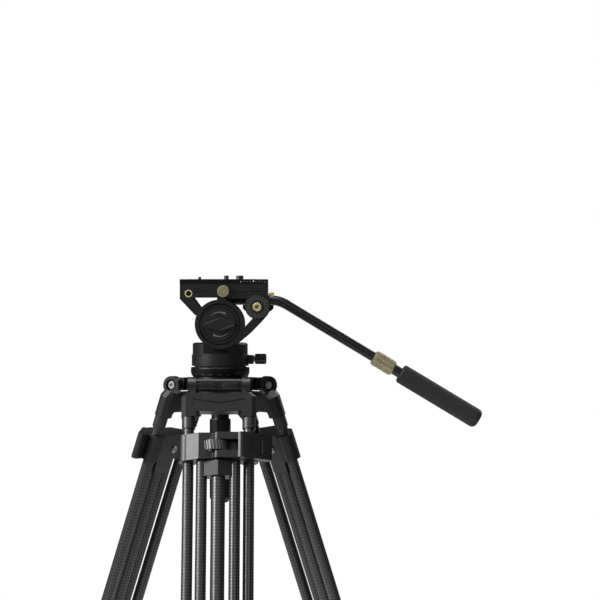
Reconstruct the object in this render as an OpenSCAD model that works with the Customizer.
// Video tripod with a fluid head on a 75 mm bowl: three two-stage legs, pan and tilt head, long handle.
// Frame: origin on the floor below the pan axis, +Z up, -Y towards the front leg, millimetres.
// Leg frame: origin on the hinge line, X across the leg, -Y outward, -Z down the leg.

/* [Stance] */
// Lean of each leg from upright, in degrees
leg_lean = 19.5; // [16:0.5:24]
// Distance down a closed leg from hinge line to sole
leg_len = 750; // [640:10:900]
// Radius of the hinge lines about the pan axis
hinge_r = 52; // [51:1:60]

/* [Leg tubes] */
// Outer radius of the four side tubes
tube_r = 7.2; // [6.2:0.1:8.4]
// Outer radius of the middle tube
core_r = 9.25; // [8:0.25:10]
// Wall of all leg tubes
tube_wall = 1.3; // [1:0.1:2]
// Half distance between the outer pair
outer_x = 39.5; // [38.5:0.5:46]
// Half distance between the inner pair
inner_x = 21.6; // [20.6:0.1:22.2]
// How far the inner pair stands in front of the outer pair
inner_out = 8; // [8:0.5:10]

/* [Yoke] */
// Half width between the yoke ears
ear_in = 30.2; // [30:0.1:32]
// Thickness of a yoke ear
ear_t = 10.5; // [8:0.5:12]
// Radius of the hinge boss
boss_r = 12; // [11:0.5:13]
// Radius of the hinge bolt shank
bolt_r = 4; // [3:0.5:4]
// Depth down the leg where the tube sockets end
yoke_end = 44; // [40:1:50]

/* [Clamp housing] */
// Top of the clamp housing, down the leg
clamp_top = 70; // [66:1:80]
// Height of the clamp housing
clamp_h = 35; // [34:1:44]
// Radius of the bosses that run on the outer tubes
run_r = 12.5; // [11:0.5:13]
// Radius of the tension wheel
wheel_r = 15.3; // [14.8:0.1:15.6]
// Height of the tension wheel
wheel_h = 13.6; // [12:0.2:14]

/* [Bowl and base] */
// Radius of the half ball
ball_r = 37.5; // [36:0.5:38]
// Length of the tie-down handle
tie_len = 118; // [90:2:150]
// Radius of the tie-down handle
tie_r = 14.2; // [12:0.2:16]

/* [Head] */
// Height of the tilt axis above the hinge lines
tilt_up = 81; // [79:0.5:90]
// Outer radius of the cradle ring
ring_r = 32.6; // [32:0.2:34]
// Outer half width of the cradle
cradle_y = 39; // [38:0.5:44]
// Thickness of the cradle side plates
plate_t = 9; // [7:0.5:10]
// Radius of the drag dial
dial_r = 21.6; // [18:0.2:22]
// Half width of the quick plate
quick_y = 26; // [25:0.5:30]
// Thickness of the quick plate above the seat
quick_t = 5.8; // [4:0.2:8]
// Radius of the handle rosettes
rosette_r = 15.9; // [14:0.1:16.5]

/* [Handle] */
// Outer radius of the handle tube
bar_r = 6.5; // [6:0.1:7]
// Drop of the handle beyond its bend, in degrees
bar_drop = 31; // [20:1:40]
// Distance from the bend point to the collar
bar_len = 151; // [131:2:191]
// Length of the foam grip
grip_len = 124; // [100:2:160]
// Radius of the foam grip
grip_r = 13.2; // [11:0.2:15]

/* [Hidden] */
$fn = 72;
LEGS = ["front", "right", "left"];
LEG_PARTS = ["yoke", "yoke_collars", "upper_tubes", "upper_bracket", "clamp_housing", "middle_tubes",
    "middle_bracket", "lower_slider", "lower_tube", "foot", "clamp_lever", "tension_wheel"];
HEAD_PARTS = ["crown", "hinge_bolts", "bubble_level", "half_ball_base", "clamp_cup", "tie_down_handle",
    "pan_housing", "drag_cartridge", "pan_lock_knob", "tilt_lock_lever", "cradle", "side_rosettes",
    "brass_inserts", "drag_dial", "plate_lock_knob", "release_pin", "quick_plate", "camera_screws",
    "bar_clamp", "bar_clamp_knob", "bar_tube", "extension_collar", "extension_rod", "grip_sleeve"];
NODES = concat(HEAD_PARTS, [for (leg = LEGS) for (p = LEG_PARTS) str(leg, "_", p)]);
node = "all";

run_gap = 0.08;                       // radial clearance of a running fit
part_gap = 0.3;                       // clearance between faces that pass each other
hinge_z = leg_len * cos(leg_lean);
bowl_z = hinge_z + 9.3;               // rim of the bowl and centre of the half ball
tilt_z = hinge_z + tilt_up;
ear_out = ear_in + ear_t;
fork_in = inner_out + tube_r + 0.6;   // inner side of the lever fork, clear of the middle tubes
socket_r = tube_r + 2.4;
col_x = outer_x + socket_r;           // outer face of the yoke columns
col_d = 9.5;                          // half depth of the yoke
lug_x = ear_in - 0.5;                 // half width of the crown lugs
lug_back = 13.4;                      // the crossbar of the yoke stays this far from the hinge line
collar_len = 15.5;
clamp_end = clamp_top + clamp_h;
slider_top = clamp_end + 1;
slider_h = 20.5;
low_ring = leg_len - 118;             // top of the upper bracket
mid_ring = low_ring + 32;             // top of the middle bracket
wheel_x = -4.5;
wheel_out = 12.2;
wheel_top = clamp_top + (clamp_h - wheel_h) / 2;
pin_out = 20;
pin_r = 2.4;
prong_r = 6.1;
hub_r = norm([wheel_x, pin_out - wheel_out]) + pin_r + 1.1;
shell_r = ball_r + part_gap;
shell_out = shell_r + 4.2;
cup_r = shell_out + part_gap;
base_z = bowl_z + 2.4;
base_top = bowl_z + 14.6;
pan_z = bowl_z + 16.4;
seat_lo = 35;                         // seat faces above the tilt axis
seat_hi = 53.4;
seat_x0 = -52.3;
seat_x1 = 63.6;
rosette_x = 49.6;
rosette_z = 22.9;
insert_x = -40.7;
insert_z = 40.5;
insert_r = 5.1;
insert_h = 12;
SCREWS = [[8.2, 3.175], [26, 4.76]];  // place along the plate and thread radius of each camera screw
PIN = [-27.4, 2];                     // the same for the anti-twist pin
STUDS = concat(SCREWS, [PIN]);
neck_cut = 0.4;                       // the captive shank is this much thinner than the thread
screw_up = 5;                         // camera screws above the plate
flange_r = 37.8;                      // foot flange of the pan housing
drum_y = cradle_y - plate_t - 0.5;
bar_up = bar_r + 2.5;                 // handle tube above the rosette centre, clear of the clamp screw
bar_y = cradle_y + 13.5;
bend_x = 28;                          // bend point of the tube beyond the rosette centre
bend_r = 45;
bend_run = bend_r * tan(bar_drop / 2); // from the bend point to either end of the arc
bend_lap = 1.5;
rod_r = bar_r - 1.5;
collar_h = 28;
neck_h = 11.5;

// Points on an arc, for outlines with round stretches
function arc(x, y, r, a0, a1, n = 8) =
    [for (i = [0:n]) let (a = a0 + (a1 - a0) * i / n) [x + r * cos(a), y + r * sin(a)]];
// Rounded rectangle about the origin
function round_rect(w, h, r) = concat(
    arc(w / 2 - r, h / 2 - r, r, 0, 90, 4), arc(r - w / 2, h / 2 - r, r, 90, 180, 4),
    arc(r - w / 2, r - h / 2, r, 180, 270, 4), arc(w / 2 - r, r - h / 2, r, 270, 360, 4));

module on_leg(i) rotate([0, 0, 120 * i]) translate([0, -hinge_r, hinge_z]) rotate([-leg_lean, 0, 0]) children();
// Plan outline in the leg frame, given across and outward, from depth a to depth b down the leg
module down_leg(a, b) translate([0, 0, -b]) mirror([0, 1, 0]) linear_extrude(b - a) children();
module rod_down(x, out, r, a, b) translate([x, -out, -b]) cylinder(r = r, h = b - a);
module pipe_down(x, out, r, a, b) difference() {
    rod_down(x, out, r, a, b);
    rod_down(x, out, r - tube_wall, a - 1, b + 1);
}
module across(r, x0, x1) translate([x0, 0, 0]) rotate([0, 90, 0]) cylinder(r = r, h = x1 - x0);
// Solid along Y from y0 to y1 of an outline in X and Z
module along_y(y0, y1) translate([0, y1, 0]) rotate([90, 0, 0]) linear_extrude(y1 - y0) children();
module disc_y(x, z, r, y0, y1) translate([x, y0, z]) rotate([-90, 0, 0]) cylinder(r = r, h = y1 - y0);
module at_tilt() translate([0, 0, tilt_z]) children();
// Handle frame: origin at the bend point, X along the straight stretch
module at_bend() at_tilt() translate([rosette_x + bend_x, bar_y, rosette_z + bar_up]) children();
module on_bar() at_bend() rotate([0, bar_drop, 0]) children();

// ---- Legs ----
module column_outline(side, x1) scale([side, 1]) polygon([[ear_in, -col_d], [x1 - 5, -col_d],
    [x1, -col_d + 6], [x1, col_d - 6], [x1 - 6, col_d], [ear_in, col_d]]);
module yoke() color("#24262a") difference() {
    union() {
        for (side = [-1, 1]) {
            hull() {
                across(boss_r, side > 0 ? ear_in : -ear_out, side > 0 ? ear_out : -ear_in, $fn = 48);
                down_leg(8, 9) column_outline(side, ear_out);
            }
            hull() {
                down_leg(8, 9) column_outline(side, ear_out);
                down_leg(16, 17) column_outline(side, col_x);
            }
            down_leg(16.5, yoke_end) column_outline(side, col_x);
        }
        down_leg(lug_back, yoke_end - 6.5) polygon([[-outer_x, -5], [outer_x, -5],
            [outer_x, col_d], [-outer_x, col_d]]);
        for (side = [-1, 1]) translate([side * (ear_in - 0.2), 0, 6.5 - yoke_end]) rotate([90, 0, 0])
            linear_extrude(2 * col_d - 4, center = true) polygon([[side, 1], [-6 * side, 1], [0, -6], [side, -6]]);
    }
    across(bolt_r + run_gap, -ear_out - 1, ear_out + 1);
    for (side = [-1, 1]) {
        across(7.7, side > 0 ? ear_out - 5 : -ear_out - 3, side > 0 ? ear_out + 3 : 5 - ear_out);
        rod_down(side * outer_x, 0, tube_r, yoke_end - 18, yoke_end + 1);
    }
    // shallow bow-tie relief on the front face
    translate([0, -col_d + 1, 0]) rotate([90, 0, 0]) linear_extrude(3)
        polygon([[-34, -20], [0, -25], [34, -20], [34, -29], [0, -27.5], [-34, -29]]);
}
module yoke_collars() color("#33363b") for (side = [-1, 1]) difference() {
    rod_down(side * outer_x, 0, tube_r + 1.6, yoke_end, yoke_end + collar_len);
    rod_down(side * outer_x, 0, tube_r, yoke_end - 1, yoke_end + collar_len + 1);
}
module upper_tubes() color("#17181a") for (side = [-1, 1])
    pipe_down(side * outer_x, 0, tube_r, yoke_end - 18, low_ring + 20);
module upper_bracket() color("#1d1e21") difference() {
    union() {
        for (side = [-1, 1]) rod_down(side * outer_x, 0, socket_r, low_ring, low_ring + 25);
        down_leg(low_ring + 2, low_ring + 23) polygon([[-outer_x, -8.5], [outer_x, -8.5],
            [outer_x, -2.5], [-outer_x, -2.5]]);
    }
    for (side = [-1, 1]) rod_down(side * outer_x, 0, tube_r, low_ring - 1, low_ring + 20);
}
module clamp_housing() color("#26282c") difference() {
    union() {
        for (side = [-1, 1]) rod_down(side * outer_x, 0, run_r, clamp_top, clamp_end);
        // body between the bosses, with the slanted front face on the fixed side
        down_leg(clamp_top, clamp_end) polygon([[-outer_x, -6], [outer_x, -6], [outer_x, 9], [26, 15.9],
            [14, 15.9], [10, 14], [-8, 14], [-8, 21], [-25.5, 21], [-49, 8.2], [-50, 0]]);
        rod_down(wheel_x, wheel_out, hub_r, wheel_top - 1.4, wheel_top + wheel_h + 1.4);
        rod_down(wheel_x, wheel_out, hub_r - 3, clamp_top + 1, clamp_end - 1);
    }
    for (side = [-1, 1]) {
        rod_down(side * outer_x, 0, tube_r + run_gap, clamp_top - 1, clamp_end + 1);
        rod_down(side * inner_x, inner_out, tube_r, clamp_top + 8, clamp_end + 1);
    }
    // groove of the tension wheel, open to the front
    difference() {
        rod_down(wheel_x, wheel_out, wheel_r + 0.5, wheel_top - 0.4, wheel_top + wheel_h + 0.4);
        rod_down(wheel_x, wheel_out, hub_r, wheel_top - 1, wheel_top + wheel_h + 1);
    }
    // room for the lever fork at both ends of its pin
    for (z = [clamp_top - 1, wheel_top + wheel_h + 0.4])
        down_leg(z, z + (clamp_h - wheel_h) / 2 + 0.6) polygon(concat([[40, fork_in - 0.5], [40, 40],
            [-6.6, 40]], arc(0, pin_out, prong_r + 0.5, 180, 270, 6), [[8.5, fork_in - 0.5]]));
    rod_down(0, pin_out, pin_r + run_gap, clamp_top - 1, clamp_end + 1);
}
module middle_tubes() color("#17181a") difference() {
    for (side = [-1, 1]) pipe_down(side * inner_x, inner_out, tube_r, clamp_top + 8, mid_ring + 20);
    // the fixed side's tube is notched beside the tension wheel
    rod_down(wheel_x, wheel_out, wheel_r + 0.5, wheel_top - 0.4, wheel_top + wheel_h + 0.4);
}
module middle_bracket() color("#1d1e21") difference() {
    union() {
        for (side = [-1, 1]) rod_down(side * inner_x, inner_out, socket_r, mid_ring, mid_ring + 25);
        rod_down(0, inner_out, core_r + 3, mid_ring, mid_ring + 25);
        down_leg(mid_ring + 1, mid_ring + 24) polygon([[-inner_x, inner_out - 9], [inner_x, inner_out - 9],
            [inner_x, inner_out + 9], [-inner_x, inner_out + 9]]);
    }
    for (side = [-1, 1]) rod_down(side * inner_x, inner_out, tube_r, mid_ring - 1, mid_ring + 20);
    rod_down(0, inner_out, core_r + run_gap, mid_ring - 1, mid_ring + 26);
}
module lower_slider() color("#2a2c30") difference() {
    down_leg(slider_top, slider_top + slider_h) polygon([[-19.5, -1.6], [19.5, -1.6], [19.5, 14],
        [0, 20.5], [-19.5, 14]]);
    for (side = [-1, 1])
        rod_down(side * inner_x, inner_out, tube_r + run_gap, slider_top - 1, slider_top + slider_h + 1);
    rod_down(0, inner_out, core_r, slider_top + 3, slider_top + slider_h + 1);
}
module lower_tube() color("#17181a") pipe_down(0, inner_out, core_r, slider_top + 3, leg_len - 28);
module foot(i) color("#141414") difference() {
    on_leg(i) difference() {
        union() {
            rod_down(0, inner_out, core_r + 3.4, leg_len - 50, leg_len - 8);
            translate([0, -inner_out, -leg_len - 12]) cylinder(r1 = 19, r2 = core_r + 4, h = 30);
        }
        rod_down(0, inner_out, core_r, leg_len - 51, leg_len - 28);
    }
    translate([-2 * leg_len, -2 * leg_len, -200]) cube([4 * leg_len, 4 * leg_len, 200]);
}
module clamp_lever() color("#2b2d31") difference() {
    union() {
        for (z = [clamp_top + 0.5, wheel_top + wheel_h + 0.8])
            down_leg(z, z + (clamp_h - wheel_h) / 2 - 1.3) polygon(concat(arc(0, pin_out, prong_r, 90, 270, 10),
                [[9, fork_in], [28, fork_in], [28, pin_out + prong_r]]));
        down_leg(clamp_top + 0.5, clamp_end - 0.5) polygon(concat(
            [[26, pin_out + prong_r], [26, 16.4], [29, 16.4]],
            arc(outer_x, 0, run_r + 0.9, 112, 16, 9),
            [[56, 3], [68, 3], [69.7, 5], [69.7, 9], [66, 12], [33, 28], [29, 28]]));
        rod_down(0, pin_out, pin_r, clamp_top + 1, clamp_end - 0.2);
    }
    // recessed panel on the slanted face
    translate([49.5, -20, -(clamp_top + clamp_end) / 2]) rotate([0, 0, 25.9]) translate([-9, -1.1, -10])
        cube([18, 1.8, 20]);
}
module tension_wheel() color("#3a3c40") difference() {
    rod_down(wheel_x, wheel_out, wheel_r, wheel_top, wheel_top + wheel_h);
    rod_down(wheel_x, wheel_out, hub_r + run_gap, wheel_top - 1, wheel_top + wheel_h + 1);
}

// ---- Crown and base ----
module crown() color("#222427") difference() {
    union() {
        translate([0, 0, bowl_z - 16]) cylinder(r = 45, h = 16);
        intersection() {
            translate([0, 0, bowl_z]) sphere(r = shell_out);
            translate([0, 0, bowl_z - 60]) cylinder(r = 50, h = 50);
        }
        for (i = [0:2]) rotate([0, 0, 120 * i]) translate([0, -hinge_r, hinge_z]) rotate([90, 0, 90])
            linear_extrude(2 * lug_x, center = true) polygon([[-8.5, 9.3], [14, 9.3], [14, -7], [-8, -7],
                [-10, -5], [-10, 7]]);
        rotate([0, 0, 90]) translate([50, 0, bowl_z - 13]) cylinder(r = 9, h = 12);
    }
    translate([0, 0, bowl_z]) sphere(r = shell_r);
    translate([0, 0, bowl_z - 80]) cylinder(r = 22, h = 90);
    for (i = [0:2]) rotate([0, 0, 120 * i]) translate([0, -hinge_r, hinge_z])
        for (side = [-1, 1]) across(bolt_r, side > 0 ? lug_x - 14 : -lug_x - 1, side > 0 ? lug_x + 1 : 14 - lug_x);
    rotate([0, 0, 90]) translate([50, 0, bowl_z - 6]) cylinder(r = 7, h = 10);
}
module hinge_bolts() color("#c9cbce") for (i = [0:2]) rotate([0, 0, 120 * i]) translate([0, -hinge_r, hinge_z])
    for (side = [0, 180]) rotate([0, 0, side]) {
        across(bolt_r, lug_x - 14, ear_out - 4.7);
        difference() {
            across(bolt_r + 0.9, ear_out - 4.8, ear_out - 1.2);
            across(2.3, ear_out - 3.4, ear_out);
        }
    }
module bubble_level() color("#b9d36a") rotate([0, 0, 90]) translate([50, 0, bowl_z - 6]) cylinder(r = 7, h = 5.4);
module half_ball_base() color("#2c2e32") union() {
    difference() {
        translate([0, 0, bowl_z]) sphere(r = ball_r);
        translate([-50, -50, bowl_z + 0.5]) cube([100, 100, 50]);
        translate([-50, -50, bowl_z - 74]) cube([100, 100, 50]);
    }
    rotate_extrude() polygon([[0, bowl_z - 1], [36, bowl_z - 1], [36, base_z], [36.9, base_z],
        [39, bowl_z + 7.7], [39, base_top - 1], [38.2, base_top], [33.5, base_top], [33.5, pan_z], [0, pan_z]]);
    translate([0, 0, bowl_z - 62]) cylinder(r = 6, h = 40);
}
module clamp_cup() color("#3b3d41") difference() {
    intersection() {
        translate([0, 0, bowl_z]) sphere(r = cup_r + 4.5);
        translate([0, 0, bowl_z - 60]) cylinder(r = 26, h = 24);
    }
    translate([0, 0, bowl_z]) sphere(r = cup_r);
    translate([0, 0, bowl_z - 60]) cylinder(r = 6, h = 60);
}
module tie_down_handle() color("#1e2023") difference() {
    translate([0, 0, bowl_z - cup_r - 5]) rotate([180, 0, 0]) union() {
        cylinder(r = tie_r - 2.5, h = 8);
        translate([0, 0, 7]) cylinder(r = tie_r, h = tie_len - 13, $fn = 10);
        translate([0, 0, tie_len - 6]) cylinder(r1 = tie_r, r2 = tie_r - 4, h = 6, $fn = 10);
    }
    translate([0, 0, bowl_z - 64]) cylinder(r = 6 + run_gap, h = 30);
}

// ---- Pan body ----
module pan_housing() color("#26282c") difference() {
    union() {
        translate([0, 0, pan_z]) difference() {
            cylinder(r = flange_r, h = 15.3);
            disc_y(0, 156, 146, -50, 50, $fn = 200);
        }
        translate([0, 0, pan_z]) cylinder(r = 36.6, h = 28.6);
        translate([0, 0, pan_z + 28.6]) cylinder(r1 = 36.6, r2 = 34.6, h = 2);
        translate([-20, -drum_y + 3, pan_z + 20]) cube([40, 2 * drum_y - 6, tilt_z - pan_z - 20]);
        translate([35, -6, pan_z + 2.2]) cube([9.3, 12, 12]);
    }
    // flats beside which the cradle plates swing
    for (side = [0, 180]) rotate([0, 0, side]) translate([-60, drum_y - 0.2, pan_z + 16.3]) cube([120, 30, 40]);
    disc_y(0, tilt_z, 25, -50, 50);
    translate([0, 0, pan_z + 9]) across(3, 30, 60);
}
module drag_cartridge() color("#1a1b1d") difference() {
    at_tilt() union() {
        disc_y(0, 0, 25, -drum_y + 0.2, drum_y - 0.2);
        disc_y(0, 0, 12, 5 - cradle_y, cradle_y - 5);
    }
    at_tilt() disc_y(0, 0, 5 + run_gap, -cradle_y - 1, -cradle_y + 16);
}
module pan_lock_knob() translate([0, 0, pan_z + 9]) {
    color("#b9bbbe") across(3 - run_gap, 32, 47);
    color("#1c1d20") across(6.7, 46.2, 60.5);
    color("#1c1d20") translate([60.5, 0, 0]) rotate([0, 90, 0]) cylinder(r1 = 6.7, r2 = 5.8, h = 1);
}

// ---- Tilt body ----
module side_outline() {
    circle(r = ring_r);
    polygon([[seat_x0, seat_lo + 1], [seat_x0, 33.4], [-32.3, 12.1], [-24, 10], [-24, 20.5], [-35, seat_lo],
        [-35, seat_lo + 1]]);
    translate([-3.2, 28]) square([12.8, seat_lo - 27]);
    translate([rosette_x, rosette_z]) circle(r = rosette_r + 0.3);
    translate([rosette_x - 15, rosette_z]) square([27, seat_lo + 1 - rosette_z]);
    polygon([[65, 16], [62, 11], [54, 2], [40, -12.4], [24.7, -25.1], [12, -25], [24, -12], [31.9, -4.8],
        [45.4, 9.6], [52, 16]]);
}
module cradle() color("#26282c") at_tilt() difference() {
    union() {
        for (y = [-cradle_y, cradle_y - plate_t]) along_y(y, y + plate_t) side_outline();
        along_y(-cradle_y, cradle_y) polygon([[seat_x0, seat_lo], [seat_x1, seat_lo], [seat_x1, seat_hi],
            [seat_x0 + 4, seat_hi], [seat_x0, seat_hi - 4]]);
    }
    for (side = [-1, 1]) {
        disc_y(0, 0, 27.6, side > 0 ? cradle_y - 1.5 : -cradle_y - 1, side > 0 ? cradle_y + 1 : 1.5 - cradle_y);
        difference() {
            disc_y(0, 0, 27.6, side > 0 ? cradle_y - 3.4 : -cradle_y, side > 0 ? cradle_y : 3.4 - cradle_y);
            disc_y(0, 0, 26.2, -cradle_y - 1, cradle_y + 1);
        }
        disc_y(insert_x, insert_z, insert_r, side > 0 ? cradle_y - insert_h : -cradle_y - 1,
            side > 0 ? cradle_y + 1 : insert_h - cradle_y);
        disc_y(rosette_x, rosette_z, 5, side > 0 ? cradle_y - 8 : -cradle_y - 1,
            side > 0 ? cradle_y + 1 : 8 - cradle_y);
    }
    disc_y(0, 0, 12 + run_gap, -cradle_y - 1, cradle_y + 1);
    disc_y(0, 0, dial_r + 0.4, -cradle_y - 1, 4.8 - cradle_y);
    // seam along both long sides of the seat
    for (side = [-1, 1]) translate([0, side * cradle_y, seat_lo + 8.1])
        cube([200, 1.2, 0.8], center = true);
    // relief that lets the seat swing down beside the round pan housing
    translate([seat_x0 - 1, 0, 0]) rotate([0, 90, 0]) cylinder(r = flange_r + 1, h = 36);
    // dovetail channel of the quick plate
    rotate([90, 0, 90]) translate([0, 0, seat_x0 - 1]) linear_extrude(seat_x1 - seat_x0 + 2)
        polygon([[-20, seat_hi + 1], [-20, seat_hi], [-23, seat_hi - 6], [23, seat_hi - 6], [20, seat_hi],
            [20, seat_hi + 1]]);
    disc_y(5, 43.5, 3, -cradle_y - 1, -cradle_y + 12);
    translate([0, 0, 40.4]) across(2 + run_gap, seat_x1 - 14, seat_x1 + 1);
}
module side_rosettes() color("#303236") at_tilt() for (side = [0, 180]) rotate([0, 0, side])
    scale([side == 0 ? 1 : -1, 1, 1]) difference() {
        union() {
            disc_y(rosette_x, rosette_z, rosette_r, cradle_y, cradle_y + 1.6);
            disc_y(rosette_x, rosette_z, 5.6, cradle_y + 1, cradle_y + 2.2);
            disc_y(rosette_x, rosette_z, 5, cradle_y - 8, cradle_y + 1);
        }
        disc_y(rosette_x, rosette_z, 3, cradle_y - 9, cradle_y + 4);
    }
module brass_inserts() color("#c9a45a") at_tilt() for (side = [-1, 1]) difference() {
    disc_y(insert_x, insert_z, insert_r, side > 0 ? cradle_y - insert_h : -cradle_y - 0.3,
        side > 0 ? cradle_y + 0.3 : insert_h - cradle_y);
    disc_y(insert_x, insert_z, 3.25, -cradle_y - 2, cradle_y + 2);
}
module drag_dial() color("#2e3034") at_tilt() union() {
    disc_y(0, 0, dial_r, -cradle_y + 0.4, 4.6 - cradle_y);
    disc_y(0, 0, 5, 4 - cradle_y, 14 - cradle_y);
    along_y(-cradle_y - 3.6, -cradle_y + 1) polygon([[-20.5, -2.5], [0, -9.3], [20.5, 0.5], [20.5, 2.5],
        [0, 9.3], [-20.5, 0.5]]);
}
module tilt_lock_lever() color("#1f2124") at_tilt() union() {
    disc_y(0, 0, 11, cradle_y - 0.8, cradle_y + 7);
    along_y(cradle_y + 2, cradle_y + 7) polygon(concat([[-4, 0], [4, 0]], arc(0, -31, 4.5, 0, -180, 6)));
}
module plate_lock_knob() at_tilt() {
    color("#c8bfa8") disc_y(5, 43.5, 7.6, -cradle_y - 8, -cradle_y - 0.4);
    color("#c8bfa8") disc_y(5, 43.5, 3 - run_gap, -cradle_y - 1, -cradle_y + 11);
}
module release_pin() color("#c9a45a") at_tilt() translate([0, 0, 40.4]) {
    across(2, seat_x1 - 10, seat_x1 + 5);
    across(3.5, seat_x1 + 4, seat_x1 + 8);
}
module quick_plate() color("#2a2c30") at_tilt() difference() {
    union() {
        translate([seat_x0 - 0.7, -quick_y, seat_hi + part_gap]) cube([seat_x1 - seat_x0 + 0.7, 2 * quick_y, quick_t]);
        rotate([90, 0, 90]) translate([0, 0, seat_x0 - 0.7]) linear_extrude(seat_x1 - seat_x0 + 0.7)
            polygon([[-19.7, seat_hi + 1], [-19.7, seat_hi], [-22.5, seat_hi - 5.7], [22.5, seat_hi - 5.7],
                [19.7, seat_hi], [19.7, seat_hi + 1]]);
    }
    for (s = STUDS) translate([s[0], 0, seat_hi - 7]) {
        cylinder(r = s[1] + 0.3, h = 20);
        cylinder(r = s[1] + 4, h = 5);
    }
    for (side = [-1, 1]) translate([3, side * (quick_y - 4.5), seat_hi + quick_t - 0.6])
        linear_extrude(2) polygon(round_rect(96, 4, 1.9));
}
module camera_screws() color("#8d8f92") at_tilt() {
    for (s = SCREWS) translate([s[0], 0, seat_hi - 5]) {
        cylinder(r = s[1] - neck_cut, h = quick_t + part_gap + 7);
        translate([0, 0, quick_t + part_gap + 5]) cylinder(r = s[1], h = screw_up);
        difference() {
            cylinder(r = s[1] + 3.7, h = 3);
            translate([-15, -0.8, -1]) cube([30, 1.6, 2.2]);
        }
    }
    translate([PIN[0], 0, seat_hi - 5]) {
        cylinder(r = PIN[1], h = quick_t + part_gap + 8.2);
        cylinder(r = PIN[1] + 3.7, h = 3);
    }
}

// ---- Handle ----
module bar_clamp() color("#1d1e21") at_tilt() difference() {
    union() {
        disc_y(rosette_x, rosette_z, rosette_r, cradle_y + 1.9, cradle_y + 6.5);
        translate([rosette_x - 15, cradle_y + 5, rosette_z - 4]) cube([30, 16, bar_up + 13]);
    }
    translate([0, bar_y, rosette_z + bar_up]) across(bar_r, 0, 100);
    disc_y(rosette_x, rosette_z, 5.8, cradle_y + 1, cradle_y + 3);
    disc_y(rosette_x, rosette_z, 2.5, cradle_y + 1, cradle_y + 30);
}
module bar_clamp_knob() color("#1b1c1f") at_tilt() union() {
    disc_y(rosette_x, rosette_z, 2.4, cradle_y + 4, cradle_y + 24);
    along_y(cradle_y + 21.6, cradle_y + 33) translate([rosette_x, rosette_z])
        polygon([for (a = [0:6:354]) (17 + 4 * cos(4 * a)) * [cos(a), sin(a)]]);
}
module bar_tube() color("#202124") difference() {
    union() {
        at_bend() across(bar_r, -72, bend_lap - bend_run);
        // the bend is a hair thicker than the straight stretches that run into it
        at_bend() translate([-bend_run, 0, -bend_r]) rotate([90, 0, 0]) rotate([0, 0, 90 - bar_drop])
            rotate_extrude(angle = bar_drop) translate([bend_r, 0]) circle(r = bar_r + 0.15);
        on_bar() across(bar_r, bend_run - bend_lap, bar_len + 4);
    }
    on_bar() across(rod_r + run_gap, bend_run + 1, bar_len + 5);
}
module extension_collar() color("#c2a77c") on_bar() difference() {
    union() {
        across(10.4, bar_len, bar_len + collar_h);
        across(9.4, bar_len - 2, bar_len + collar_h + 1.5);
    }
    across(bar_r + run_gap, bar_len - 3, bar_len + 4.2);
    across(rod_r + run_gap, bar_len, bar_len + collar_h + 3);
}
module extension_rod() color("#2b2d30") on_bar() union() {
    across(rod_r, bend_run + 6, bar_len + collar_h + neck_h + 20);
    across(7.1, bar_len + collar_h + 2, bar_len + collar_h + neck_h);
}
module grip_sleeve() color("#1a1a1b") on_bar() difference() {
    translate([bar_len + collar_h + neck_h, 0, 0]) rotate([0, 90, 0]) rotate_extrude() polygon(concat([[0, 0]],
        arc(grip_r - 4, 4, 4, -90, 0, 5), arc(grip_r - 7, grip_len - 7, 7, 0, 90, 6), [[0, grip_len]]));
    across(rod_r, bar_len + collar_h, bar_len + collar_h + neck_h + 20);
}

function shown(name) = node == "all" || node == name;
if (shown("crown")) crown();
if (shown("hinge_bolts")) hinge_bolts();
if (shown("bubble_level")) bubble_level();
if (shown("half_ball_base")) half_ball_base();
if (shown("clamp_cup")) clamp_cup();
if (shown("tie_down_handle")) tie_down_handle();
if (shown("pan_housing")) pan_housing();
if (shown("drag_cartridge")) drag_cartridge();
if (shown("pan_lock_knob")) pan_lock_knob();
if (shown("tilt_lock_lever")) tilt_lock_lever();
if (shown("cradle")) cradle();
if (shown("side_rosettes")) side_rosettes();
if (shown("brass_inserts")) brass_inserts();
if (shown("drag_dial")) drag_dial();
if (shown("plate_lock_knob")) plate_lock_knob();
if (shown("release_pin")) release_pin();
if (shown("quick_plate")) quick_plate();
if (shown("camera_screws")) camera_screws();
if (shown("bar_clamp")) bar_clamp();
if (shown("bar_clamp_knob")) bar_clamp_knob();
if (shown("bar_tube")) bar_tube();
if (shown("extension_collar")) extension_collar();
if (shown("extension_rod")) extension_rod();
if (shown("grip_sleeve")) grip_sleeve();
for (i = [0:2]) {
    if (shown(str(LEGS[i], "_yoke"))) on_leg(i) yoke();
    if (shown(str(LEGS[i], "_yoke_collars"))) on_leg(i) yoke_collars();
    if (shown(str(LEGS[i], "_upper_tubes"))) on_leg(i) upper_tubes();
    if (shown(str(LEGS[i], "_upper_bracket"))) on_leg(i) upper_bracket();
    if (shown(str(LEGS[i], "_clamp_housing"))) on_leg(i) clamp_housing();
    if (shown(str(LEGS[i], "_middle_tubes"))) on_leg(i) middle_tubes();
    if (shown(str(LEGS[i], "_middle_bracket"))) on_leg(i) middle_bracket();
    if (shown(str(LEGS[i], "_lower_slider"))) on_leg(i) lower_slider();
    if (shown(str(LEGS[i], "_lower_tube"))) on_leg(i) lower_tube();
    if (shown(str(LEGS[i], "_foot"))) foot(i);
    if (shown(str(LEGS[i], "_clamp_lever"))) on_leg(i) clamp_lever();
    if (shown(str(LEGS[i], "_tension_wheel"))) on_leg(i) tension_wheel();
}
